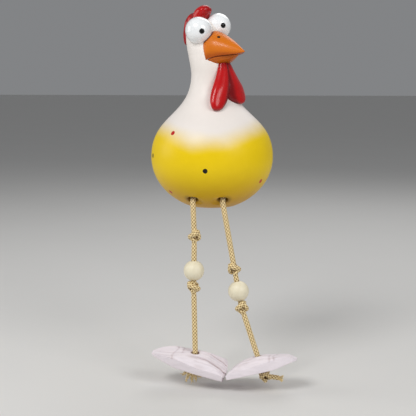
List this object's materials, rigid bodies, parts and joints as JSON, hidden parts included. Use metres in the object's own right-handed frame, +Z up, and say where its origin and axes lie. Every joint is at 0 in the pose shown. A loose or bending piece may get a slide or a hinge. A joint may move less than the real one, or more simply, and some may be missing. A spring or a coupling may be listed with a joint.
{
  "type": "shelf-sitter chicken figurine",
  "caption": "Hollow painted chicken ornament that sits on a shelf edge, with bulging eyes and knotted rope legs carrying beads and hanging feet.",
  "frame": {"origin": "centre of the flat underside that the figure sits on, at mount seat", "axes": "+Z up through the neck; -Y towards the front, where the legs hang; the figure's own right side is -X"},
  "size_m": [0.1334, 0.125, 0.3226],
  "materials": {
    "body_paint": "glossy cream paint fading to yellow on cast resin",
    "red_paint": "high gloss red paint on cast resin",
    "beak_paint": "satin orange paint on cast resin",
    "eye_white": "glossy white paint on cast resin",
    "pupil_black": "glossy black paint",
    "plug_cork": "matte pressed cork",
    "leg_rope": "braided cord with a soft sheen",
    "bead_wood": "unpainted pale wood, satin",
    "foot_paint": "whitish pink brushed paint on cast resin"
  },
  "bodies": {
    "figure": {"body_shell": "body_paint", "base_plug": "plug_cork", "comb": "red_paint", "wattle_right": "red_paint", "wattle_left": "red_paint", "eye_right": "eye_white", "eye_left": "eye_white", "pupil_right": "pupil_black", "pupil_left": "pupil_black", "beak_upper": "beak_paint", "beak_lower": "beak_paint", "stop_knot_right": "leg_rope", "rope_root_right": "leg_rope", "stop_knot_left": "leg_rope", "rope_root_left": "leg_rope"},
    "thigh_right": {"rope_thigh_right": "leg_rope", "knot_upper_right": "leg_rope"},
    "knee_right": {"rope_knee_right": "leg_rope", "knot_lower_right": "leg_rope"},
    "bead_right": {"bead_right": "bead_wood"},
    "shin_right": {"rope_shin_right": "leg_rope"},
    "ankle_right": {"rope_end_right": "leg_rope", "end_knot_right": "leg_rope", "frayed_end_right": "leg_rope"},
    "foot_right": {"foot_right": "foot_paint"},
    "thigh_left": {"rope_thigh_left": "leg_rope", "knot_upper_left": "leg_rope"},
    "knee_left": {"rope_knee_left": "leg_rope", "knot_lower_left": "leg_rope"},
    "bead_left": {"bead_left": "bead_wood"},
    "shin_left": {"rope_shin_left": "leg_rope"},
    "ankle_left": {"rope_end_left": "leg_rope", "end_knot_left": "leg_rope", "frayed_end_left": "leg_rope"},
    "foot_left": {"foot_left": "foot_paint"}
  },
  "joints": [
    {"name": "hip_swing_right", "type": "hinge", "parent": "figure", "child": "thigh_right", "pos_m": [-0.0123, -0.0336, 0.00702], "axis": [-1, 0, 0], "range_deg": [-20, 70]},
    {"name": "leg_splay_right", "type": "hinge", "parent": "thigh_right", "child": "knee_right", "pos_m": [-0.01034, -0.03948, -0.0299], "axis": [0, 1, 0], "range_deg": [0, 30]},
    {"name": "bead_slide_right", "type": "slide", "parent": "knee_right", "child": "bead_right", "axis": [-0.0069, 0.1446, 0.9895], "range_m": [0, 0.013]},
    {"name": "knee_bend_right", "type": "hinge", "parent": "knee_right", "child": "shin_right", "pos_m": [-0.00975, -0.0458, -0.07298], "axis": [1, 0, 0], "range_deg": [-30, 80]},
    {"name": "ankle_rock_right", "type": "hinge", "parent": "shin_right", "child": "ankle_right", "pos_m": [-0.0077, -0.0528, -0.11958], "axis": [1, 0, 0], "range_deg": [-25, 25]},
    {"name": "foot_spin_right", "type": "hinge", "parent": "ankle_right", "child": "foot_right", "pos_m": [-0.0077, -0.0528, -0.11958], "axis": [-0.189, 0.1392, -0.9721], "range_deg": [0, 90]},
    {"name": "hip_swing_left", "type": "hinge", "parent": "figure", "child": "thigh_left", "pos_m": [0.0133, -0.03321, 0.00701], "axis": [-1, 0, 0], "range_deg": [-20, 70]},
    {"name": "leg_splay_left", "type": "hinge", "parent": "thigh_left", "child": "knee_left", "pos_m": [0.02616, -0.04363, -0.05652], "axis": [0, -1, 0], "range_deg": [0, 30]},
    {"name": "bead_slide_left", "type": "slide", "parent": "knee_left", "child": "bead_left", "axis": [-0.2049, 0.1506, 0.9671], "range_m": [0, 0.003]},
    {"name": "knee_bend_left", "type": "hinge", "parent": "knee_left", "child": "shin_left", "pos_m": [0.03399, -0.0485, -0.08835], "axis": [1, 0, 0], "range_deg": [-30, 80]},
    {"name": "ankle_rock_left", "type": "hinge", "parent": "shin_left", "child": "ankle_left", "pos_m": [0.0455, -0.05321, -0.12079], "axis": [1, 0, 0], "range_deg": [-25, 25]},
    {"name": "foot_spin_left", "type": "hinge", "parent": "ankle_left", "child": "foot_left", "pos_m": [0.0455, -0.05321, -0.12079], "axis": [-0.2389, 0.1564, 0.9583], "range_deg": [0, 90]}
  ]
}
